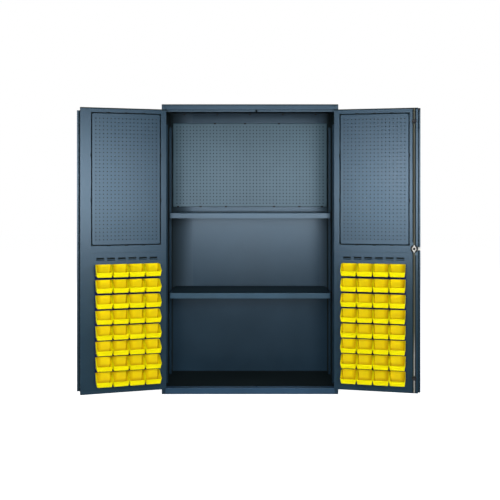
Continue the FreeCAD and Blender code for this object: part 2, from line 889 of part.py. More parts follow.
def rod_guide(z):
    """Eight-sided block on the inner face with an upright bore for a lock rod."""
    half = guide_width / 2
    body = plate(half, half, guide_chamfer, latch_w, door_depth, door_depth + guide_depth, z)
    base = Vector(latch_w, rod_n + pin_offset, z - half - overrun)
    bore = Part.makeCylinder(rod_radius + turn_clearance, guide_width + 2 * overrun, base)
    return body.cut(bore)


os.makedirs("parts", exist_ok=True)

# Carcass pieces
left_side = side_panel()
save("left_side_panel", [left_side])
save("right_side_panel", [mirrored(left_side)])
save("back_panel", [back_panel()])
save("roof_panel", [roof_panel()])
save("floor_panel", [floor_panel()])
save("floor_stiffener", [floor_stiffener()])
save("header_rail", [header_rail()])
save("sill_rail", [sill_rail()])
save("upper_shelf", [shelf(upper_shelf_top)])
save("lower_shelf", [shelf(lower_shelf_top)])
left_standards = [shelf_standard(y) for y in standard_places()]
save("left_shelf_standards", left_standards)
save("right_shelf_standards", [mirrored(piece) for piece in left_standards])
for name, top in (("upper", upper_shelf_top), ("lower", lower_shelf_top)):
    left_clips = [shelf_clip(y, top) for y in standard_places()]
    save(name + "_shelf_clips", left_clips + [mirrored(piece) for piece in left_clips])
save("back_pegboard", [back_pegboard()])

# Pieces that both doors have, with the hinges that carry them
pegboard = door_pegboard()
louvers = louver_panel()
bin_shape = hook_on_bin()
for side, angle in (("left", left_open_angle), ("right", right_open_angle)):
    save(side + "_hinge_jamb_leaf", [hang(jamb_leaf(), side, 0)])
    save(side + "_hinge_door_leaf", [hang(door_leaf(), side, angle)])
    save(side + "_pegboard", [hang(pegboard, side, angle)])
    save(side + "_louver_panel", [hang(louvers, side, angle)])
    for row in range(bin_rows):
        bins = [hang(piece, side, angle) for piece in bin_row(bin_shape, row)]
        save(side + "_bins_row_" + str(row + 1), bins)

# Left door
save("left_door_skin", [hang(left_skin(), "left", left_open_angle)])
save("left_door_liner", [hang(door_liner(door_end), "left", left_open_angle)])
save("astragal", [hang(astragal(), "left", left_open_angle)])

# Right door with its latch
guides = [rod_guide(door_low + lower_guide_inset), rod_guide(door_high - upper_guide_inset)]
right_pieces = {
    "right_door_skin": [right_skin()],
    "right_door_liner": [right_liner()],
    "rod_guides": guides,
    "handle_rose": [handle_rose()],
    "latch_lever": [latch_lever()],
    "lock_plug": [lock_plug()],
    "bolt_crank": [bolt_crank()],
    "center_bolt": [center_bolt()],
    "latch_cam": [latch_cam()],
    "cam_cover": [cam_cover()],
    "upper_lock_rod": [lock_rod(1, door_high - rod_end_gap)],
    "lower_lock_rod": [lock_rod(-1, door_low + rod_end_gap)],
}
for node, pieces in right_pieces.items():
    save(node, [hang(piece, "right", right_open_angle) for piece in pieces])
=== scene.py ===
import json
import math

import bmesh
import bpy
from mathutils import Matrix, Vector


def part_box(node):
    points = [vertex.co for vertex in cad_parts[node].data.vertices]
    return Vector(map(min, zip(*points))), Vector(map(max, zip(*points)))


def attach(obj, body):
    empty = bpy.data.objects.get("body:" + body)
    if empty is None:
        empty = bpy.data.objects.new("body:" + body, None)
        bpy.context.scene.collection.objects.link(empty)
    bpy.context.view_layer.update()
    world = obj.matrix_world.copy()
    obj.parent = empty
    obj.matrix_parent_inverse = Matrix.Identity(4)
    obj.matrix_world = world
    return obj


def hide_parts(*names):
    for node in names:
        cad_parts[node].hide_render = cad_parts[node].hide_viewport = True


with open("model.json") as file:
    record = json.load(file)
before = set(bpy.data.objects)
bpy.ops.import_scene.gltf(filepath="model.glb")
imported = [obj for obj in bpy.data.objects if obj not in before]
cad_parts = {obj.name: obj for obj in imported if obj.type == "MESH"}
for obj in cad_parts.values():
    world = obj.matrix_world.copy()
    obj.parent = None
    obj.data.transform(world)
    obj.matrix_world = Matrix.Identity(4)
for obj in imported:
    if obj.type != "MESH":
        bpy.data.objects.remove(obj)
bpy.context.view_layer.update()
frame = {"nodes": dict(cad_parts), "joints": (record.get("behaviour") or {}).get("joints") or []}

# The carcass is folded from cold-rolled sheet: two sides with their posts, a back, a roof, a floor pan,
# a header and a sill. They are spot-welded into one box, which is powder-coated blue-grey in one go.


def feed(tree, node, inputs):
    """Gives each input of a node a plain value or the output of another node."""
    for at, value in inputs.items():
        if isinstance(value, bpy.types.NodeSocket):
            tree.links.new(value, node.inputs[at])
        else:
            node.inputs[at].default_value = value


def add(tree, kind, inputs, **settings):
    """Adds a node to a material, sets it and feeds it."""
    node = tree.nodes.new("ShaderNode" + kind)
    for key, value in settings.items():
        setattr(node, key, value)
    feed(tree, node, inputs)
    return node


def new_finish(name):
    """A new material, with its tree of nodes and its shader."""
    finish = bpy.data.materials.new(name)
    finish.use_nodes = True
    return finish, finish.node_tree, finish.node_tree.nodes["Principled BSDF"]


def here(tree, kind="Object"):
    """Where on the object a point lies, or with Normal which way its face looks."""
    return add(tree, "TexCoord", {}).outputs[kind]


def axis_of(tree, vector, axis):
    """One coordinate of a place."""
    return add(tree, "SeparateXYZ", {0: vector}).outputs[axis]


def joined(tree, operation, first, second):
    """Two values made into one."""
    return add(tree, "Math", {0: first, 1: second}, operation=operation).outputs[0]


def vector_step(tree, operation, first, second=(0, 0, 0)):
    """One step of vector arithmetic."""
    node = add(tree, "VectorMath", {0: first, 1: second}, operation=operation)
    return node.outputs["Value" if operation == "DOT_PRODUCT" else "Vector"]


def ramp(tree, value, start, end, top=1.0):
    """Goes from nought to its top as a value goes from start to end."""
    inputs = {"Value": value, "From Min": start, "From Max": end, "To Max": top}
    return add(tree, "MapRange", inputs).outputs["Result"]


def spread(tree, value, least, most):
    """Goes from least to most as a value goes from nought to one."""
    return add(tree, "MapRange", {"Value": value, "To Min": least, "To Max": most}).outputs["Result"]


def noise(tree, scale, detail=2.0, place=None):
    """Cloudy noise over the object."""
    inputs = {"Vector": here(tree) if place is None else place, "Scale": scale, "Detail": detail}
    return add(tree, "TexNoise", inputs).outputs["Fac"]


def tinted(tree, value, lean, full, start=0.0, end=1.0):
    """Goes from a lean to a full colour as a value goes from start to end."""
    node = add(tree, "ValToRGB", {"Fac": value})
    for stop, colour, position in zip(node.color_ramp.elements, (lean, full), (start, end)):
        stop.color, stop.position = colour, position
    return node.outputs["Color"]


def faded(tree, where, colour, other, blend="MIX"):
    """A colour that gives way to another one where a mask is on."""
    inputs = {0: where, 6: colour, 7: other}
    return add(tree, "Mix", inputs, data_type="RGBA", blend_type=blend).outputs[2]


def relief(tree, grain, strength, distance):
    """Fine relief in a surface."""
    inputs = {"Height": grain, "Strength": strength, "Distance": distance}
    return add(tree, "Bump", inputs).outputs["Normal"]


def powder_coat(name, colour, painted_shade=None, sheen=0.09, shade_colour=(0.006, 0.011, 0.012, 1), roughness=0.25):
    """Satin powder coat with a faint orange peel and cloudy gloss, and painted shade that makes it darker
    and rougher where a mask is given.
    """
    finish, tree, shader = new_finish(name)
    cloud = noise(tree, scale=4.0, detail=5.0)
    deep, pale = ([c * share for c in colour] + [1] for share in (0.90, 1.08))
    tint = tinted(tree, cloud, deep, pale, start=0.30, end=0.72)
    rough = spread(tree, cloud, roughness - 0.03, roughness + 0.04)
    # Painted shade: the mask mixes the colour towards a near-black and adds roughness.
    if painted_shade:
        where, dulling = painted_shade(tree), 0.55
        tint = faded(tree, where, tint, shade_colour)
        rough = add(tree, "Math", {0: where, 1: dulling, 2: rough}, operation="MULTIPLY_ADD").outputs[0]
    feed(tree, shader, {
        "Base Color": tint, "Roughness": rough,
        "Specular IOR Level": sheen, "Specular Tint": (0.64, 0.82, 1.0, 1),
        "Normal": relief(tree, noise(tree, scale=420.0), strength=0.06, distance=0.0004),
    })
    return finish


def coat(nodes, finish):
    """Gives solid pieces of the frame their finish."""
    for node in nodes:
        mesh = frame["nodes"][node].data
        mesh.materials.clear()
        mesh.materials.append(finish)


def level_of(tree):
    """How high a point lies."""
    return axis_of(tree, here(tree), "Z")


def facing(tree, way, top=1.0):
    """At its top on the faces that look a given way, and nought on those that look aside."""
    aside, straight = 0.5, 0.9
    return ramp(tree, vector_step(tree, "DOT_PRODUCT", here(tree, "Normal"), way), aside, straight, top)


def roof_edge_shade(tree):
    """Painted shade: a dark line along the front, close under the edge of the roof."""
    edge, seam_low, seam_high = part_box("roof_panel")[0].z, 0.0065, 0.0050
    seam = ramp(tree, level_of(tree), edge - seam_low, edge - seam_high)
    return joined(tree, "MULTIPLY", seam, facing(tree, (0, -1, 0)))


def box_inside_shade(tree):
    """Painted shade on the walls, roof and floor that look towards the middle of the box, and along the
    front under the roof's edge.
    """
    middle, gain = (0, 0, 1), 3
    away = vector_step(tree, "SUBTRACT", here(tree), middle)
    back = vector_step(tree, "MULTIPLY", away, (-gain, 0, -gain))
    look = vector_step(tree, "DOT_PRODUCT", back, here(tree, "Normal"))
    return joined(tree, "MAXIMUM", ramp(tree, look, 0, 1), roof_edge_shade(tree))


def board_shade(tree):
    """Painted shade on the back wall's inner face behind and beside the pegboard, and towards its corners
    over the lower shelf.
    """
    soft_in, soft_out = 0.004, 0.003
    left_corner, right_corner = (-0.43, -0.59, 0.75), (0.53, 0.59, 0.50)
    low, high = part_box("back_pegboard")
    shelf_low, shelf_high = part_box("lower_shelf")
    from_middle = vector_step(tree, "SUBTRACT", here(tree), (low + high) / 2)
    past = vector_step(tree, "SUBTRACT", vector_step(tree, "ABSOLUTE", from_middle), (high - low) / 2)
    past_x = axis_of(tree, past, "X")
    edge = joined(tree, "MAXIMUM", past_x, axis_of(tree, past, "Z"))
    dark = joined(tree, "MAXIMUM", ramp(tree, edge, 0, -soft_in), ramp(tree, past_x, 0, soft_out))
    along = axis_of(tree, from_middle, "X")
    over_shelf = ramp(tree, level_of(tree), shelf_low.z, shelf_high.z)
    for start, end, top in (left_corner, right_corner):
        corner = joined(tree, "MULTIPLY", over_shelf, ramp(tree, along, start, end, top))
        dark = joined(tree, "MAXIMUM", dark, corner)
    return joined(tree, "MULTIPLY", dark, facing(tree, (0, -1, 0)))


slate = (0.0122, 0.0312, 0.0520)
cabinet_blue = powder_coat("cabinet_blue", slate)
coat(["floor_stiffener"], cabinet_blue)
# The header carries a painted shadow line under the roof's edge.
coat(["header_rail"], powder_coat("header_shaded_blue", slate, roof_edge_shade))
# The sill's paint is a lighter, bluer copy of the slate: painted light from the pale floor before it.
coat(["sill_rail"], powder_coat("lit_sill_blue", (0.024, 0.058, 0.105), roughness=0.30))
# The side walls, roof, floor and shelf standards are darkened inside the box with painted shade.
shaded_box_blue = powder_coat("shaded_box_blue", slate, box_inside_shade)
coat(["left_side_panel", "right_side_panel", "roof_panel", "floor_panel"], shaded_box_blue)
# The back wall is darkened behind and beside the pegboard and towards its corners with painted shade.
coat(["back_panel"], powder_coat("shaded_back_blue", slate, board_shade))

# The two shelves are pans with a turned-down front lip. They lie on bent steel clips that hook into
# slotted standards welded upright on the side walls, so each shelf can be moved up or down.


def shelf_top_shade(tree):
    """Painted shade on the top of a shelf, which is made darker and duller than its front."""
    return facing(tree, (0, 0, 1), top=0.66)


coat(["upper_shelf"], cabinet_blue)
# The lower shelf's paint is a lighter, bluer copy of the slate, a painted light, and its top carries
# painted shade.
coat(["lower_shelf"], powder_coat("lit_lower_shelf_blue", (0.026, 0.062, 0.098), shelf_top_shade))
coat(["left_shelf_standards", "right_shelf_standards"], shaded_box_blue)


def plated_steel(name, colour, roughness, grain, metal=1.0, mirror=0.5):
    """Bare, plated or blackened steel with a fine drawn grain that runs up and down."""
    finish, tree, shader = new_finish(name)
    drawn_out = add(tree, "Mapping", {"Vector": here(tree), "Scale": (1, 1, 0.06)}).outputs["Vector"]
    lines = noise(tree, scale=600.0, detail=3.0, place=drawn_out)
    feed(tree, shader, {
        "Base Color": tinted(tree, lines, [c * (1 - grain) for c in colour] + [1], [*colour, 1]),
        "Roughness": spread(tree, lines, roughness * 0.8, roughness * 1.25),
        "Metallic": metal, "Specular IOR Level": mirror,
    })
    return finish


black_steel = plated_steel("blackened_steel", (0.006, 0.0065, 0.007), roughness=0.55, grain=0.30,
                           metal=0.0, mirror=0.04)
coat(["upper_shelf_clips", "lower_shelf_clips"], black_steel)

# The back pegboard is a sheet pan punched all over on a one-inch grid, with its edges turned back.
# It stands off the upper back wall and is clipped at its top and bottom edge.
quarter = math.radians(90)


def deselect():
    """Leaves nothing selected, so that an operator works on the new piece alone."""
    bpy.ops.object.select_all(action="DESELECT")


def edit():
    """Opens the piece in hand for editing."""
    bpy.ops.object.mode_set(mode="EDIT")


def done():
    """Closes the piece in hand after editing."""
    bpy.ops.object.mode_set(mode="OBJECT")


def pick(kind, test):
    """Selects, in edit mode, the parts of a kind that pass a test on their middle and themselves."""
    bpy.ops.mesh.select_mode(type=kind)
    bpy.ops.mesh.select_all(action="DESELECT")
    mesh = bmesh.from_edit_mesh(bpy.context.object.data)
    for part in {"VERT": mesh.verts, "EDGE": mesh.edges, "FACE": mesh.faces}[kind]:
        corners = [part] if kind == "VERT" else part.verts
        middle = sum((v.co for v in corners), Vector()) / len(corners)
        if test(middle, part):
            part.select_set(True)
    mesh.select_flush_mode()
    bmesh.update_edit_mesh(bpy.context.object.data)


def pick_all():
    """Selects the whole piece that is being edited."""
    bpy.ops.mesh.select_all(action="SELECT")


def move(x, y, z):
    """Moves what is picked."""
    bpy.ops.transform.translate(value=(x, y, z))


def stretch(x, y, z):
    """Stretches what is picked about the origin."""
    bpy.ops.transform.resize(value=(x, y, z), center_override=(0, 0, 0))


def pull_edges(x, y, z):
    """Pulls a new strip of faces out of the picked edges."""
    bpy.ops.mesh.extrude_edges_move(TRANSFORM_OT_translate={"value": (x, y, z)})


def pull_faces(z):
    """Pulls the picked faces up or down."""
    bpy.ops.mesh.extrude_region_move(TRANSFORM_OT_translate={"value": (0, 0, z)})


def round_edges(width, steps):
    """Rounds off the picked edges."""
    bpy.ops.mesh.bevel(offset=width, segments=steps, affect="EDGES")


def block(size, middle):
    """Adds a block to the piece that is being edited, and leaves it picked."""
    bpy.ops.mesh.primitive_cube_add(size=1, location=(0, 0, 0))
    stretch(*size)
    move(*middle)


def smooth(angle):
    """Shades the piece in hand smooth, but for edges sharper than an angle."""
    bpy.ops.object.shade_smooth_by_angle(angle=math.radians(angle))


def flip():
    """Turns the faces of the piece in hand inside out."""
    edit()
    pick_all()
    bpy.ops.mesh.flip_normals()
    done()


def modify(kind, **settings):
    """Adds a modifier to the piece in hand and applies it."""
    piece = bpy.context.object
    tool = piece.modifiers.new(kind.lower(), kind)
    for key, value in settings.items():
        setattr(tool, key, value)
    bpy.ops.object.modifier_apply(modifier=tool.name)


def array(count, step, weld=0.0):
    """Repeats the piece in hand at equal steps, with corners welded that lie close."""
    modify("ARRAY", count=count, use_relative_offset=False, use_constant_offset=True,
           constant_offset_displace=step, use_merge_vertices=weld > 0, merge_threshold=weld)


def thicken_down(thickness):
    """Gives the sheet in hand its thickness, below the side that is to be seen from above."""
    if sum(p.normal.z * p.area for p in bpy.context.object.data.polygons) < 0:
        flip()
    modify("SOLIDIFY", thickness=thickness, offset=-1.0)


def settle(piece, location=(0, 0, 0), rotation=(0, 0, 0), scale=(1, 1, 1)):
    """Puts a piece in its place, with the place in its mesh and its faces pointing outwards."""
    deselect()
    piece.select_set(True)
    bpy.context.view_layer.objects.active = piece
    piece.location, piece.rotation_euler, piece.scale = location, rotation, scale
    bpy.ops.object.transform_apply(location=True, rotation=True, scale=True)
    if math.prod(scale) < 0:
        flip()


def new_piece(name, finish):
    """Names the piece in hand and gives it its finish."""
    piece = bpy.context.object
    piece.name = name
    piece.data.name = name
    piece.data.materials.clear()
    piece.data.materials.append(finish)
    return piece


def copy_of(piece, name):
    """A copy with its own mesh."""
    twin = piece.copy()
    twin.data = piece.data.copy()
    twin.name = name
    twin.data.name = name
    bpy.context.scene.collection.objects.link(twin)
    return twin


def perforated_pan(name, low, high, corner, roll, finish):
    """A punched pan, face up at the origin: one hole in its square, arrayed, framed, folded, thickened."""
    width, depth, height = (end - start for start, end in zip(low, high))
    pitch, hole, margin, thickness = 0.0254, 0.0043, 0.010, 0.0015
    near, weld = 0.0005, 0.0004
    across, up = (int((side - 2 * margin) / pitch) for side in (width, height))
    half_x, half_y = across * pitch / 2, up * pitch / 2
    deselect()
    bpy.ops.mesh.primitive_circle_add(vertices=8, radius=hole)
    edit()
    pick_all()
    pull_edges(0, 0, 0)
    stretch(*[pitch / 2 / hole] * 3)
    pick("VERT", lambda at, v: at.length > pitch * 0.4 and min(abs(at.x), abs(at.y)) > hole)
    stretch(*[math.sqrt(2)] * 3)
    pick_all()
    move(pitch * (1 - across) / 2, pitch * (1 - up) / 2, 0)
    done()
    array(across, (pitch, 0, 0), weld)
    array(up, (0, pitch, 0), weld)
    edit()
    pick_all()
    bpy.ops.mesh.remove_doubles(threshold=weld)
    bpy.ops.mesh.normals_make_consistent(inside=False)
    pick("EDGE", lambda at, e: e.is_boundary and (abs(at.x) > half_x - near or abs(at.y) > half_y - near))
    pull_edges(0, 0, 0)
    stretch(width / 2 / half_x, height / 2 / half_y, 1)
    pull_edges(0, 0, -depth)
    pick_all()
    bpy.ops.mesh.normals_make_consistent(inside=False)
    pick("EDGE", lambda at, e: -depth < at.z < 0 and abs(at.x) > width / 2 - near
         and abs(at.y) > height / 2 - near)
    round_edges(corner, 4)
    pick("EDGE", lambda at, e: abs(at.z) < near and e.calc_face_angle(0) > 1)
    round_edges(roll, 3)
    done()
    thicken_down(thickness)
    return new_piece(name, finish)


# The back board's paint is a lighter copy of the slate with less sheen: the board is a little paler than
# the carcass, and the lighter colour also stands in, as painted light, for sheen that fades towards its
# edges.
pale_lit_board_blue = powder_coat("pale_lit_board_blue", (0.053, 0.096, 0.125), sheen=0.060)
low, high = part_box("back_pegboard")
back_board = perforated_pan("back_pegboard_punched", low, high, corner=0.0045, roll=0.0045,
                            finish=pale_lit_board_blue)
settle(back_board, ((low.x + high.x) / 2, low.y, (low.z + high.z) / 2), (quarter, 0, 0))
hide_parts("back_pegboard")
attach(back_board, "cabinet")


def board_clip(name, stand_off):
    """A bent clip, drawn on a top edge: one leg goes back to the wall and one turns down over the board."""
    long, thick, over, roll = 0.018, 0.0016, 0.0075, 0.0005
    deselect()
    bpy.ops.mesh.primitive_cube_add(size=1, location=(0, 0, 0))
    edit()
    stretch(long, stand_off + thick, thick)
    move(0, (stand_off - thick) / 2, thick / 2)
    bpy.ops.mesh.bisect(plane_co=(0, 0, 0), plane_no=(0, 1, 0))
    pick("FACE", lambda at, f: f.normal.z < -0.9 and at.y < 0)
    pull_faces(-over)
    pick("EDGE", lambda at, e: e.calc_face_angle(0) > 1 and at.y < -thick * 0.9)
    round_edges(roll, 2)
    done()
    return new_piece(name, black_steel)


top_clips = [(x, 1) for x in (-0.268, -0.038, 0.222)]
bottom_clips = [(x, -1) for x in (-0.550, -0.378, -0.183, 0.183, 0.378, 0.550)]
clip_pattern = board_clip("board_clip", high.y - low.y)
for count, (at_x, way) in enumerate(top_clips + bottom_clips, 1):
    clip = copy_of(clip_pattern, "board_clip_" + str(count))
    settle(clip, (at_x, low.y, high.z if way > 0 else low.z), (0, 0, 0), (1, 1, way))
    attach(clip, "cabinet")
bpy.data.objects.remove(clip_pattern)


def turned(sides, radius, depth, roll, steps):
    """Starts a turned piece along Z with a rolled rim round its top, and leaves it open for editing."""
    deselect()
    bpy.ops.mesh.primitive_cylinder_add(vertices=sides, radius=radius, depth=depth)
    edit()
    pick("EDGE", lambda at, e: at.z > depth * 0.4 and e.calc_face_angle(0) > 0.5)
    round_edges(roll, steps)


def rivet(name, radius, proud, roll, finish):
    """A flat-topped button with a rolled rim, its top towards +Z."""
    turned(20, radius, proud, roll, 3)
    done()
    smooth(50)
    return new_piece(name, finish)


wall_low, wall_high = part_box("back_panel")
rivet_proud, rivet_drop, rivet_pitch, rivet_count = 0.0024, 0.0090, 0.2515, 5
first_rivet = (rivet_pitch * (1 - rivet_count) / 2, wall_low.y - rivet_proud / 2, wall_high.z - rivet_drop)
roof_rivets = rivet("roof_rivets", radius=0.0065, proud=rivet_proud, roll=0.0019,
                    finish=black_steel)
settle(roof_rivets, first_rivet, (quarter, 0, 0))
array(rivet_count, (rivet_pitch, 0, 0))
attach(roof_rivets, "cabinet")

# Each continuous hinge is two strips of sheet rolled round a steel pin in short turns, one strip screwed
# flat on the jamb, the other on the door's edge, with countersunk zinc screws six inches apart.
zinc = plated_steel("zinc_plate", (0.50, 0.51, 0.52), roughness=0.36, grain=0.25)


def hinge_of(side):
    """Where a door's pin stands, how far the door is open at rest, and which way it closes along X."""
    joint = next(j for j in frame["joints"] if j["name"] == side + "_door_hinge")
    return Vector(joint["pos_m"]), math.radians(-joint["range_deg"][0]), 1 if side == "left" else -1


def hang(piece, side, opened=True):
    """Turns a piece, drawn closed round the left pin, to its side, and opens it as far as its door."""
    pin, angle, way = hinge_of(side)
    settle(piece, (pin.x, pin.y, 0), (0, 0, -way * angle if opened else 0), (way, 1, 1))


def door_box(node, side):
    """Corners of a solid in its closed door's own frame: along from the pin, in from it, and up."""
    pin, angle, way = hinge_of(side)
    c, s = math.cos(angle), math.sin(angle)
    found = []
    for v in frame["nodes"][node].data.vertices:
        x, y = (v.co.x - pin.x) * way, v.co.y - pin.y
        found.append((x * c - y * s, x * s + y * c, v.co.z))
    return Vector(map(min, zip(*found))), Vector(map(max, zip(*found)))


def hinge_strip(name, near, far, first, low, high):
    """One strip of the hinge with every second turn round the pin, drawn round the left pin."""
    knuckle, inner, clear, reach = 0.004, 0.002, 0.0046, 0.0296
    turn, gap, lap, knuckle_edge, leaf_edge = 0.0254, 0.0005, 0.0002, 0.0003, 0.0002
    count = int((high - low) / turn)
    length = (high - low) / count
    thick, middle = abs(far - near), (near + far) / 2
    deselect()
    bpy.ops.mesh.primitive_cylinder_add(vertices=20, radius=knuckle, depth=length - gap)
    edit()
    pick("EDGE", lambda at, e: abs(abs(at.z) - length / 2) < 0.001 and e.calc_face_angle(0) > 1)
    round_edges(knuckle_edge, 1)
    block((thick, clear - inner + lap, length - gap), (middle, (clear + inner) / 2, 0))
    pick_all()
    move(0, 0, low + length * (first + 0.5))
    done()
    array((count + 1 - first) // 2, (0, 0, 2 * length))
    edit()
    block((thick, reach - clear, high - low), (middle, (clear + reach) / 2, (low + high) / 2))
    round_edges(leaf_edge, 1)
    done()
    smooth(35)
    return new_piece(name, cabinet_blue)


def hinge_screws(name, face, low, high):
    """Countersunk screws with a dished head, flush with the jamb strip, drawn round the left pin."""
    head, thick, proud, dish = 0.0042, 0.0006, 0.00015, 0.0002
    rim, slope, from_pin, from_end, spare, pitch = 0.0006, 0.0016, 0.0190, 0.06, 0.1, 0.1524
    count = int((high - low - spare) / pitch) + 1
    deselect()
    bpy.ops.mesh.primitive_cylinder_add(vertices=20, radius=head, depth=thick)
    edit()
    pick("FACE", lambda at, f: f.normal.z > 0.9)
    bpy.ops.mesh.inset(thickness=rim)
    bpy.ops.mesh.inset(thickness=slope)
    move(0, 0, -dish)
    done()
    screw = new_piece(name, zinc)
    settle(screw, (face + proud - thick / 2, from_pin, low + from_end), (0, quarter, 0))
    array(count, (0, 0, pitch))
    smooth(35)
    return screw


strip_near, strip_far = 0.00025, 0.00175
for side in ("left", "right"):
    low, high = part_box(side + "_hinge_jamb_leaf")
    jamb_strip = hinge_strip(side + "_hinge_jamb_strip", -strip_far, -strip_near, 0, low.z, high.z)
    hang(jamb_strip, side, opened=False)
    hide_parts(side + "_hinge_jamb_leaf")
    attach(jamb_strip, "cabinet")
    screws = hinge_screws(side + "_hinge_screws", -strip_near, low.z, high.z)
    hang(screws, side, opened=False)
    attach(screws, "cabinet")
    door_strip = hinge_strip(side + "_hinge_door_strip", strip_near, strip_far, 1, low.z, high.z)
    hang(door_strip, side)
    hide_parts(side + "_hinge_door_leaf")
    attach(door_strip, side + "_door")

# A door is a pan of outer sheet closed by an inner sheet with two windows, welded along the edges.
# The left one carries the meeting strip on its free edge, the right one has a thin lip that covers it.


def out_from_pin(tree, side):
    """How far a point of a door lies from its pin, measured along the door."""
    pin, angle, way = hinge_of(side)
    from_pin = vector_step(tree, "SUBTRACT", here(tree), pin)
    return vector_step(tree, "DOT_PRODUCT", from_pin, (way * math.cos(angle), -math.sin(angle), 0))


def inner_side(tree, side):
    """One on the faces of a door that look into the closed cabinet."""
    _, angle, way = hinge_of(side)
    return facing(tree, (way * math.sin(angle), math.cos(angle), 0))


def span(tree, value, start, end, soft):
    """One where a value lies between start and end, with soft ends outside them."""
    rise, fall = ramp(tree, value, start - soft, start), ramp(tree, value, end + soft, end)
    return joined(tree, "MULTIPLY", rise, fall)


def pan_inside_shade(side):
    """Painted shade on the hollow side of a door's outer pan, reaching a little past the inner sheet onto
    the narrow lip or the meeting strip as a dark line.
    """
    past_liner, soft = 0.0075 if side == "right" else 0.0095, 0.001
    reach = door_box(side + "_door_liner", side)[1].x + past_liner

    def painted_shade(tree):
        short = ramp(tree, out_from_pin(tree, side), reach, reach - soft)
        return joined(tree, "MULTIPLY", short, inner_side(tree, side))

    return painted_shade


def liner_shade_lines(side):
    """Painted shade: dark lines along the top edge and over the louvre panel, and dark bands on both sides
    of the rods.
    """
    soft, shade_high, shade, seam_low, seam_high = 0.001, 0.005, 0.35, 0.0080, 0.0065
    high = door_box(side + "_door_liner", side)[1]
    panel_high = door_box(side + "_louver_panel", side)[1]
    guide_low, guide_high = door_box("rod_guides", "right")
    rod_at, darkened, darkening_soft = (guide_low.x + guide_high.x) / 2, 0.0105, 0.002

    def painted_shade(tree):
        up, out = level_of(tree), out_from_pin(tree, side)
        over = joined(tree, "MULTIPLY", ramp(tree, up, panel_high.z - soft, panel_high.z),
                      ramp(tree, up, panel_high.z + shade_high, panel_high.z + soft, shade))
        over = joined(tree, "MULTIPLY", over, ramp(tree, out, panel_high.x + soft, panel_high.x))
        dark = joined(tree, "MAXIMUM", over, ramp(tree, up, high.z - seam_low, high.z - seam_high))
        if side == "right":
            darkening = span(tree, out, rod_at - darkened, rod_at + darkened, darkening_soft)
            dark = joined(tree, "MAXIMUM", dark, darkening)
        return dark

    return painted_shade


for side in ("left", "right"):
    # Each door's outer pan carries painted shade in its hollow and a painted shadow line along its free
    # edge.
    shaded_pan_blue = powder_coat(side + "_pan_shaded_blue", slate, pan_inside_shade(side))
    coat([side + "_door_skin"] + (["astragal"] if side == "left" else []), shaded_pan_blue)
    # The inner sheet carries painted shade lines along its top, over the louvre panel and beside the rods.
    coat([side + "_door_liner"], powder_coat(side + "_liner_shaded_blue", slate, liner_shade_lines(side)))

# A punched pan of the same painted sheet sits in the upper window of each door, flush with the inner sheet.
# Its turned edges stand on the outer sheet, with a dark gap all round.
door_blue = powder_coat("door_blue", slate)
for side in ("left", "right"):
    low, high = door_box(side + "_pegboard", side)
    board = perforated_pan(side + "_pegboard_punched", low, high, corner=0.012, roll=0.0022,
                           finish=door_blue)
    settle(board, ((low.x + high.x) / 2, high.y, (low.z + high.z) / 2), (quarter, 0, 2 * quarter))
    hang(board, side)
    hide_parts(side + "_pegboard")
    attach(board, side + "_door")

# A louvre panel is fixed over the lower window: sheet with rows of tongues lanced and pressed outwards,
# open at the top, so that a bin's rear lip drops in behind them.


def louver_panel(name, low, high, finish):
    """One tongue in its field, arrayed over the panel, framed and thickened, in the closed door's frame."""
    sheet, columns, rows, step = 0.0015, 6, 16, 0.0514
    field_low, field_high = 0.054, high.x - 0.028
    first, bottom, slot_low, slot_high = low.z + 0.09675, -0.012, 0.002, 0.0225
    tongue_share, free_lift, near, aside = 0.72, 0.0055, 0.0002, 5
    pitch = (field_high - field_low) / columns
    length = pitch * tongue_share
    top, last = bottom + rows * step, (rows - 1) * step
    deselect()
    bpy.ops.mesh.primitive_grid_add(x_subdivisions=3, y_subdivisions=3, size=1)
    edit()
    lines = (-1 / 2, -1 / 6, 1 / 6, 1 / 2)
    for at_x, to_x in zip(lines, (-pitch / 2, -length / 2, length / 2, pitch / 2)):
        pick("VERT", lambda at, v: abs(at.x - at_x) < 0.01 and abs(at.z) < 0.01)
        move(to_x - at_x, 0, aside)
    pick_all()
    move(0, 0, -aside)
    for at_y, to_y in zip(lines, (bottom, slot_low, slot_high, bottom + step)):
        pick("VERT", lambda at, v: abs(at.y - at_y) < 0.01 and abs(at.z) < 0.01)
        move(0, to_y - at_y, aside)
    pick_all()
    move(0, 0, -aside)
    pick("FACE", lambda at, f: abs(at.x) < 0.001 and slot_low < at.y < slot_high)
    bpy.ops.mesh.delete(type="ONLY_FACE")
    pick("EDGE", lambda at, e: abs(at.x) < 0.001 and abs(at.y - slot_low) < 0.0001)
    tongue = ((0.0012, 0.0026), (0.0016, 0.0027), (0.0026, 0.0012), (0.0036, 0.0))
    for rise, out in tongue:
        pull_edges(0, rise, out)
    pick_all()
    move(field_low + pitch / 2, 0, 0)
    done()
    array(columns, (pitch, 0, 0), near)
    array(rows, (0, step, 0), near)
    edit()
    pick_all()
    bpy.ops.mesh.remove_doubles(threshold=near)
    pick("VERT", lambda at, v: last + slot_low - 0.0005 < at.y < last + slot_high + 0.0005)
    move(0, free_lift, 0)
    borders = (
        (0, field_low, (low.x - field_low, 0, 0)),
        (0, field_high, (high.x - field_high, 0, 0)),
        (1, bottom, (0, low.z - first - bottom, 0)),
        (1, top, (0, high.z - first - top, 0)),
    )
    for axis, edge, way in borders:
        pick("EDGE", lambda at, e: e.is_boundary and abs(at[axis] - edge) < near and abs(at.z) < near)
        pull_edges(*way)
    pick_all()
    move(0, first, 0)
    done()
    thicken_down(sheet)
    panel = new_piece(name, finish)
    settle(panel, (0, 0, 0), (quarter, 0, 0))
    settle(panel, (0, low.y + sheet, 0), (0, 0, 0), (1, -1, 1))
    return panel


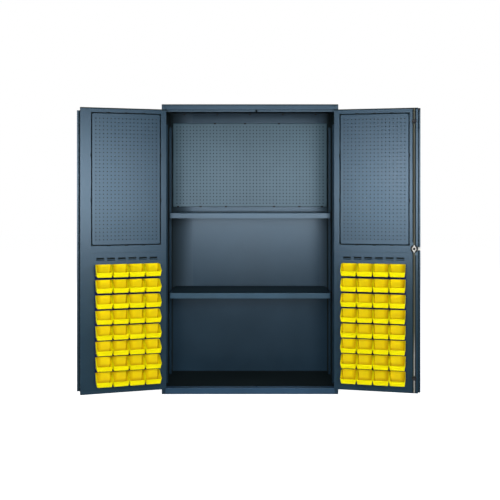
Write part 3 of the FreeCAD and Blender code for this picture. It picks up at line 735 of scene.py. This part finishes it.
def bin_shade(side):
    """Painted shade on the patch of a louvre panel that the bins cover, dark and dull as in their shadow.
    """
    low = door_box(side + "_bins_row_8", side)[0]
    high = door_box(side + "_bins_row_1", side)[1]
    soft, past = 0.002, 0.003

    def painted_shade(tree):
        rows = span(tree, level_of(tree), low.z - past, high.z - past, soft)
        columns = span(tree, out_from_pin(tree, side), low.x - past, high.x + past, soft)
        return joined(tree, "MULTIPLY", inner_side(tree, side), joined(tree, "MULTIPLY", rows, columns))

    return painted_shade


# The patch behind the bins is painted deep navy, a painted shadow.
bin_shadow_navy = (0.004, 0.010, 0.062, 1)
for side in ("left", "right"):
    low, high = door_box(side + "_louver_panel", side)
    shaded_louver_blue = powder_coat(side + "_louver_shaded_blue", slate, bin_shade(side), shade_colour=bin_shadow_navy)
    panel = louver_panel(side + "_louver_panel_pressed", low, high, shaded_louver_blue)
    hang(panel, side)
    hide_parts(side + "_louver_panel")
    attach(panel, side + "_door")

# The bins are injection-moulded in yellow plastic: tapered walls, a scooped low front with a label recess,
# a rounded rim, and a hanging lip behind the back wall that drops over a louvre. They lift off by hand.
bin_gap, hook_reach, bins_in_row, bin_rows = 0.0023, 0.0058, 4, 8


def bin_plastic(name, lean, full, mirror, painted_light=None):
    """Moulded plastic: a little light goes into it, the gloss shows faint flow marks, and a mask, where
    given, darkens it with painted shade.
    """
    finish, tree, shader = new_finish(name)
    shade_tint = (0.62, 0.46, 0.60, 1)
    flow = noise(tree, scale=22.0, detail=4.0)
    tint = tinted(tree, flow, lean, full)
    if painted_light:
        tint = faded(tree, painted_light(tree), tint, shade_tint, "MULTIPLY")
    feed(tree, shader, {
        "Base Color": tint, "Roughness": spread(tree, flow, 0.42, 0.52), "Specular IOR Level": mirror,
        "Subsurface Weight": 0.30, "Subsurface Radius": (0.008, 0.006, 0.0006),
        "Normal": relief(tree, noise(tree, scale=900.0), strength=0.08, distance=0.0002),
    })
    return finish


def within(tree, value, start, pitch):
    """How far a value has gone into its step of a row of equal steps."""
    return joined(tree, "MODULO", joined(tree, "SUBTRACT", value, start), pitch)


def bin_inside_shade(side):
    """Painted shade inside a bin: low down, and towards the door's free edge."""
    aside_start, aside_end, aside_shade = 0.60, 0.92, 0.85
    floor_high, floor_low, floor_shade = 0.030, 0.010, 0.75
    low, high = door_box(side + "_bins_row_8", side)
    pitch = (high.x - low.x + bin_gap) / bins_in_row
    row_pitch = (door_box(side + "_bins_row_1", side)[0].z - low.z) / (bin_rows - 1)

    def painted_light(tree):
        out = within(tree, out_from_pin(tree, side), low.x, pitch)
        up = within(tree, level_of(tree), low.z, row_pitch)
        aside = ramp(tree, out, aside_start * pitch, aside_end * pitch, aside_shade)
        return joined(tree, "MAXIMUM", aside, ramp(tree, up, floor_high, floor_low, floor_shade))

    return painted_light


def moulded_bin(width, inside):
    """One bin, back wall at Y zero, floor at Z zero, open front towards +Y."""
    depth, height, lip, wall = 0.120, 0.077, 0.033, 0.0036
    side_draft, front_draft, rim, near = 0.0046, 0.014, 0.42, 0.0003
    corner, foot, label_rim, label_edge, recess = 0.006, 0.003, 0.0065, 0.0008, (0, -0.0009, 0.0003)
    hook_drop, web, hook_thick, hook_long, hook_in = 0.0215, 0.0022, 0.002, 0.005, 0.004
    hook_top, hook_width = height - hook_drop, width - 2 * (side_draft + hook_in)
    deselect()
    bpy.ops.mesh.primitive_cube_add(size=1, location=(0, 0, 0))
    yellow = bin_plastic("bin_yellow", (0.78, 0.70, 0.0010, 1), (0.85, 0.77, 0.0012, 1), mirror=0.04)
    # The inner corners take a browner, darker copy of the plastic: painted shade.
    shaded = bin_plastic("bin_corner_shade", (0.42, 0.24, 0.0008, 1), (0.50, 0.30, 0.0010, 1), mirror=0.01)
    piece = new_piece("bin_pattern", yellow)
    piece.data.materials.append(inside)
    piece.data.materials.append(shaded)
    edit()
    move(0, 0.5, 0.5)
    stretch(width, depth, height)
    bpy.ops.mesh.bisect(plane_co=(0, depth * rim, 0), plane_no=(0, 1, 0))
    pick("VERT", lambda at, v: at.z < near)
    stretch(1 - 2 * side_draft / width, 1, 1)
    pick("VERT", lambda at, v: at.y > depth - near and at.z < near)
    move(0, -front_draft, 0)
    pick("VERT", lambda at, v: at.y > depth - near and at.z > height - near)
    move(0, 0, lip - height)
    pick("FACE", lambda at, f: f.normal.z > 0.3)
    bpy.ops.mesh.delete(type="ONLY_FACE")
    pick("EDGE", lambda at, e: not e.is_boundary and abs(e.verts[0].co.z - e.verts[1].co.z) > lip / 2
         and (at.y < near or at.y > depth * 0.8))
    round_edges(corner, 3)
    pick("EDGE", lambda at, e: max(v.co.z for v in e.verts) < near and e.calc_face_angle(0) > 0.5)
    round_edges(foot, 2)
    pick("FACE", lambda at, f: f.normal.y > 0.7 and f.calc_area() > width * lip * 0.4)
    bpy.ops.mesh.inset(thickness=label_rim)
    bpy.ops.mesh.inset(thickness=label_edge)
    move(*recess)
    done()
    modify("SOLIDIFY", thickness=wall, offset=-1.0, use_even_offset=True, use_rim=True, material_offset=1)
    edit()
    # Painted shade goes on the rounded inner corners.
    pick("FACE", lambda at, f: f.material_index == 1 and min(abs(f.normal.x), abs(f.normal.y)) > 0.2)
    piece.active_material_index = 2
    bpy.ops.object.material_slot_assign()
    block((hook_width, hook_reach, web), (0, -hook_reach / 2, hook_top - web / 2))
    block((hook_width, hook_thick, hook_long),
          (0, hook_thick / 2 - hook_reach, hook_top - web - hook_long / 2))
    done()
    modify("BEVEL", width=0.0006, segments=2, limit_method="ANGLE", angle_limit=math.radians(50))
    smooth(32)
    return piece


# The inside of each bin is a slightly darker, more orange copy of the yellow plastic, standing in for shade
# and bounced light, with more painted shade low down and towards the door's free edge.
inside = {}
for side in ("left", "right"):
    inside[side] = bin_plastic(side + "_bin_shaded_golden", (0.82, 0.655, 0.0008, 1), (0.90, 0.735, 0.0010, 1),
                               mirror=0.01, painted_light=bin_inside_shade(side))
low, high = door_box("left_bins_row_1", "left")
pitch = (high.x - low.x + bin_gap) / bins_in_row
row_pattern = moulded_bin(pitch - bin_gap, inside["left"])
settle(row_pattern, (low.x + (pitch - bin_gap) / 2, low.y + hook_reach, 0))
array(bins_in_row, (pitch, 0, 0))
for side in ("left", "right"):
    for row in range(1, bin_rows + 1):
        node = side + "_bins_row_" + str(row)
        low = door_box(node, side)[0]
        bins = copy_of(row_pattern, node + "_moulded")
        bins.data.materials[1] = inside[side]
        settle(bins, (0, 0, low.z))
        hang(bins, side)
        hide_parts(node)
        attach(bins, side + "_door")
bpy.data.objects.remove(row_pattern)

# Two drawn steel rods run up and down the right door's inner face to lock it at the header and the sill.
# They slide in round black plastic guides, and a blackened cam on the handle's spindle drives them.


def drawn_rod(name, drawn, painted_light, painted, darkened, axis_out, axis_up):
    """Dull drawn steel, made lighter low down by a painted reflection; its plate by the cam is painted, and
    it is black in a disc round the cam.
    """
    bar, reach, soft = 0.0055, 0.0270, 0.0006
    reflection_start, reflection_end = 0.46, 0.30
    finish = plated_steel(name, drawn, roughness=0.50, grain=0.30, metal=0.2, mirror=0.06)
    tree = finish.node_tree
    shader = tree.nodes["Principled BSDF"]
    tint = shader.inputs["Base Color"].links[0].from_socket
    up = level_of(tree)
    squares = []
    for value, middle in ((out_from_pin(tree, "right"), axis_out), (up, axis_up)):
        off = joined(tree, "SUBTRACT", value, middle)
        squares.append(joined(tree, "MULTIPLY", off, off))
    low_reflection = ramp(tree, up, reflection_start, reflection_end)
    plate = ramp(tree, squares[0], bar ** 2, (bar + soft) ** 2)
    darkening = ramp(tree, joined(tree, "ADD", *squares), (reach + soft) ** 2, reach ** 2)
    for mask, colour in ((low_reflection, painted_light), (plate, painted), (darkening, darkened)):
        tint = faded(tree, mask, tint, colour)
    feed(tree, shader, {"Base Color": tint})
    return finish


low, high = door_box("latch_cam", "right")
# The rods are lightened low down by a painted reflection of the pale floor.
rod_steel = drawn_rod("rod_steel", drawn=(0.076, 0.077, 0.058), painted_light=(0.215, 0.215, 0.215, 1),
                      painted=(0.036, 0.060, 0.082, 1), darkened=(0.004, 0.0045, 0.005, 1),
                      axis_out=(low.x + high.x) / 2, axis_up=(low.z + high.z) / 2)
coat(["upper_lock_rod", "lower_lock_rod"], rod_steel)
coat(["latch_cam", "bolt_crank"], black_steel)
satin_plate = plated_steel("satin_plate", (0.68, 0.68, 0.66), roughness=0.40, grain=0.18,
                           metal=0.0, mirror=0.04)
coat(["center_bolt"], satin_plate)


def moulded_black(name):
    """Black moulded plastic with a fine spark-eroded grain."""
    finish, tree, shader = new_finish(name)
    grain = noise(tree, scale=1500.0)
    feed(tree, shader, {
        "Base Color": (0.006, 0.006, 0.007, 1), "Roughness": spread(tree, grain, 0.42, 0.60),
        "Specular IOR Level": 0.08, "Normal": relief(tree, grain, strength=0.15, distance=0.0002),
    })
    return finish


def bore(radius, length, place, rotation):
    """Bores a round hole in the piece in hand with a bar that is gone after."""
    piece = bpy.context.object
    deselect()
    bpy.ops.mesh.primitive_cylinder_add(vertices=24, radius=radius, depth=length,
                                        location=place, rotation=rotation)
    bar = bpy.context.object
    deselect()
    piece.select_set(True)
    bpy.context.view_layer.objects.active = piece
    modify("BOOLEAN", object=bar, operation="DIFFERENCE", solver="EXACT")
    bpy.data.objects.remove(bar)


def rod_guide(name, middle, radius, depth, rod_at, hole):
    """A round bushing with a rolled rim and a bore for the rod, in the closed door's frame."""
    rim, sunk, roll, foot = radius * 0.24, depth * 0.10, radius * 0.10, radius * 0.04
    deselect()
    bpy.ops.mesh.primitive_cylinder_add(vertices=36, radius=radius, depth=depth)
    edit()
    pick("FACE", lambda at, f: f.normal.z > 0.9)
    bpy.ops.mesh.inset(thickness=rim)
    move(0, 0, -sunk)
    pick("EDGE", lambda at, e: at.z > depth * 0.45 and e.calc_face_angle(0) > 0.5)
    round_edges(roll, 3)
    pick("EDGE", lambda at, e: at.z < -depth * 0.45 and e.calc_face_angle(0) > 0.5)
    round_edges(foot, 1)
    done()
    guide = new_piece(name, black_plastic)
    settle(guide, middle, (-quarter, 0, 0))
    bore(hole, 4 * radius, (middle[0], rod_at, middle[2]), (0, 0, 0))
    smooth(35)
    return guide


black_plastic = moulded_black("black_plastic")
rod_radius, rod_clear = 0.00475, 0.0006
rod_at = door_box("lower_lock_rod", "right")[1].y - rod_radius
low, high = door_box("rod_guides", "right")
radius = (high.x - low.x) / 2
for name, level in (("upper_rod_guide", high.z - radius), ("lower_rod_guide", low.z + radius)):
    middle = ((low.x + high.x) / 2, (low.y + high.y) / 2, level)
    guide = rod_guide(name, middle, radius, high.y - low.y, rod_at, rod_radius + rod_clear)
    hang(guide, "right")
    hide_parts("rod_guides")
    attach(guide, "right_door")

# A black plastic bumper stands on the thin lip at the right door's top corner, so that steel doesn't
# strike steel when the doors close.
low, high = door_box("right_door_skin", "right")
liner_high = door_box("right_door_liner", "right")[1]
lip, bumper_long, bumper_drop = 0.0021, 0.018, 0.010
bumper_at = ((liner_high.x + high.x) / 2, low.y + lip + bumper_long / 2, high.z - bumper_drop)
bumper = rivet("corner_bumper", radius=0.0070, proud=bumper_long, roll=0.0015,
               finish=black_plastic)
settle(bumper, bumper_at, (-quarter, 0, 0))
hang(bumper, "right")
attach(bumper, "right_door")

# The bright diamond plate covers the cam on the inner face, held on the spindle by a black socket screw.
# Outside, a chromed die-cast lever turns the spindle over a round rose, and the lock plug sits in its hub.
chrome = plated_steel("bright_chrome", (0.78, 0.79, 0.80), roughness=0.22, grain=0.06)


def diamond_plate(low, high):
    """A lozenge of bright plate with a broad chamfer and rounded corners, in the closed door's frame."""
    half_w, half_h, thick = (high.x - low.x) / 2, (high.z - low.z) / 2, high.y - low.y
    corner, chamfer, chamfer_deep = 0.0022, 0.0028, thick * 0.45
    deselect()
    bpy.ops.mesh.primitive_circle_add(vertices=4, radius=1, fill_type="NGON")
    edit()
    pick_all()
    stretch(half_w, half_h, 1)
    pull_faces(thick)
    pick_all()
    bpy.ops.mesh.normals_make_consistent(inside=False)
    pick("EDGE", lambda at, e: abs(e.verts[0].co.z - e.verts[1].co.z) > thick / 2)
    round_edges(corner, 3)
    pick("FACE", lambda at, f: f.normal.z > 0.9)
    bpy.ops.mesh.inset(thickness=chamfer)
    pick("VERT", lambda at, v: at.z > thick / 2 and abs(at.x) / half_w + abs(at.y) / half_h > 0.93)
    move(0, 0, -chamfer_deep)
    done()
    plate = new_piece("cam_diamond", satin_plate)
    settle(plate, ((low.x + high.x) / 2, low.y, (low.z + high.z) / 2), (-quarter, 0, 0))
    smooth(30)
    return plate


def socket_screw(name, radius, proud, place, finish):
    """A button screw with a round socket, its head towards +Y in the closed door's frame."""
    turned(24, radius, proud, proud * 0.6, 3)
    pick("FACE", lambda at, f: f.normal.z > 0.9)
    bpy.ops.mesh.inset(thickness=radius * 0.18)
    pull_faces(-proud * 0.6)
    done()
    screw = new_piece(name, finish)
    settle(screw, place, (-quarter, 0, 0))
    smooth(35)
    return screw


low, high = door_box("cam_cover", "right")
plate = diamond_plate(low, high)
hang(plate, "right")
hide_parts("cam_cover")
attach(plate, "latch_handle")
screw_radius, screw_proud = 0.0082, 0.0014
middle = ((low.x + high.x) / 2, high.y + screw_proud / 2, (low.z + high.z) / 2)
screw = socket_screw("cam_screw", screw_radius, screw_proud, middle, black_plastic)
hang(screw, "right")
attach(screw, "latch_handle")


def lever_handle(low, high, rose_face):
    """A hub with a rolled rim and a tapered, crowned arm that hangs from it, with the spindle behind."""
    hub, hub_roll, arm_root, arm_tip, arm_thick, crown = 0.015, 0.0030, 0.009, 0.0065, 0.009, 0.0022
    spindle, lap, plug_radius, plug_deep, near = 0.007, 0.001, 0.00605, 0.0142, 0.0002
    middle_x, axis_z = (low.x + high.x) / 2, high.z - hub
    length, hub_long, depth = axis_z - low.z, rose_face - low.y, high.y - rose_face
    turned(40, hub, hub_long, hub_roll, 4)
    done()
    bore(plug_radius, 2 * plug_deep, (0, 0, hub_long / 2), (0, 0, 0))
    edit()
    block((2 * arm_tip, length - hub / 2, arm_thick),
          (0, -(length + hub / 2) / 2, (hub_long - arm_thick) / 2))
    pick("VERT", lambda at, v: abs(at.x) < arm_tip + near and abs(at.y + hub / 2) < near
         and len(v.link_edges) == 3)
    stretch(arm_root / arm_tip, 1, 1)
    pick("EDGE", lambda at, e: abs(at.y + length) < near and abs(abs(at.x) - arm_tip) < near)
    round_edges(arm_tip * 0.92, 6)
    pick("EDGE", lambda at, e: at.y < -hub * 1.02 and e.calc_face_angle(0) > 0.9)
    round_edges(crown, 3)
    block((spindle, spindle, depth + 2 * lap), (0, 0, lap - (hub_long + depth) / 2))
    done()
    handle = new_piece("lever_handle", chrome)
    settle(handle, (middle_x, (low.y + rose_face) / 2, axis_z), (quarter, 0, 0))
    smooth(35)
    return handle


def round_rose(low, high):
    """A round spun rose with a rolled edge, bored for the spindle."""
    thick, spindle_hole = high.y - low.y, 0.0052
    turned(48, (high.x - low.x) / 2, thick, thick * 0.7, 4)
    done()
    rose = new_piece("round_rose", chrome)
    middle = ((low.x + high.x) / 2, (low.y + high.y) / 2, (low.z + high.z) / 2)
    settle(rose, middle, (quarter, 0, 0))
    bore(spindle_hole, 4 * thick, middle, (quarter, 0, 0))
    smooth(35)
    return rose


hub_gap = 0.0003
rose_low, rose_high = door_box("handle_rose", "right")
low, high = door_box("latch_lever", "right")
handle = lever_handle(low, high, rose_low.y - hub_gap)
hang(handle, "right")
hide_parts("latch_lever")
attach(handle, "latch_handle")
rose = round_rose(rose_low, rose_high)
hang(rose, "right")
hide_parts("handle_rose")
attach(rose, "right_door")
coat(["lock_plug"], plated_steel("plug_brass", (0.62, 0.48, 0.22), roughness=0.28, grain=0.20))

# The floor and the air round it are plain and pale. Big soft lamps hang in front, at both sides and behind;
# the satin paint mirrors the one at eye level as a soft sheen.


def seen_straight(tree):
    """One for what the eye sees, in a mirror or through glass too, and nought for the light things get."""
    path = add(tree, "LightPath", {}).outputs
    seen = joined(tree, "MAXIMUM", path["Is Camera Ray"], path["Is Glossy Ray"])
    return joined(tree, "MAXIMUM", seen, path["Is Transmission Ray"])


def pale_stage(name, colour, glow):
    """Plain pale surface that shows as white to the eye and in bright metal, and keeps a soft shadow."""
    finish, tree, shader = new_finish(name)
    feed(tree, shader, {
        "Base Color": colour, "Roughness": 0.9, "Specular IOR Level": 0.0, "Emission Color": (1, 1, 1, 1),
        "Emission Strength": joined(tree, "MULTIPLY", seen_straight(tree), glow),
    })
    return finish


floor_white = pale_stage("floor_white", (0.82, 0.82, 0.82, 1), glow=0.88)
floor_size, floor_drop = 40, 0.0005
deselect()
bpy.ops.mesh.primitive_plane_add(size=1, location=(0, 0, 0))
floor = new_piece("studio_floor", floor_white)
settle(floor, (0, 0, -floor_drop), (0, 0, 0), (floor_size, floor_size, 1))

world = bpy.data.worlds.new("studio_air")
bpy.context.scene.world = world
world.use_nodes = True
air = world.node_tree
brightness = spread(air, seen_straight(air), least=0.14, most=1.0)
feed(air, air.nodes["Background"], {"Color": (1, 1, 1, 1), "Strength": brightness})


def soft_lamp(name, place, aim, width, height, power):
    """A flat soft lamp that points at a place on the cabinet."""
    lamp = bpy.data.lights.new(name, "AREA")
    lamp.shape = "RECTANGLE"
    lamp.size, lamp.size_y, lamp.energy = width, height, power
    stand = bpy.data.objects.new(name, lamp)
    bpy.context.scene.collection.objects.link(stand)
    stand.location = place
    stand.rotation_euler = (Vector(aim) - Vector(place)).to_track_quat("-Z", "Y").to_euler()
    return stand


front, chest = (0.20, -5.6, 1.75), (0, 0, 1.10)
eye_level_lamp = soft_lamp("eye_level_lamp", (0.40, -6.0, 1.25), (0.40, 0, 1.25),
                           width=3.6, height=1.4, power=500)
eye_level_lamp.visible_diffuse = False
front_lamp = soft_lamp("front_lamp", front, chest, width=2.8, height=1.4, power=270)
front_lamp.visible_diffuse = False
fill_lamp = soft_lamp("fill_lamp", front, chest, width=2.8, height=1.4, power=215)
fill_lamp.visible_glossy = False
soft_lamp("back_lamp", (0.0, 4.6, 4.6), (0, 0, 1.0), width=4.0, height=2.0, power=160)
for way in (-1, 1):
    side_lamp = soft_lamp("side_lamp", (way * 4.6, -3.8, 2.2), (way * 0.9, -0.4, 0.8),
                          width=0.8, height=0.8, power=85)
    side_lamp.visible_glossy = False

bpy.context.scene.view_settings.view_transform = "Standard"

# The camera stands level in front of the cabinet, at chest height and a little over five metres off.
# Its lens is shifted, not tilted, to frame the picture, so that upright edges stay upright.
eye = bpy.data.cameras.new("eye")
eye.sensor_width = 36.0
eye.lens = 56.3
eye.shift_y = -0.1175
camera = bpy.data.objects.new("eye", eye)
bpy.context.scene.collection.objects.link(camera)
camera.location = (0.0, -5.70, 1.40)
camera.rotation_euler = (quarter, 0, 0)
bpy.context.scene.camera = camera
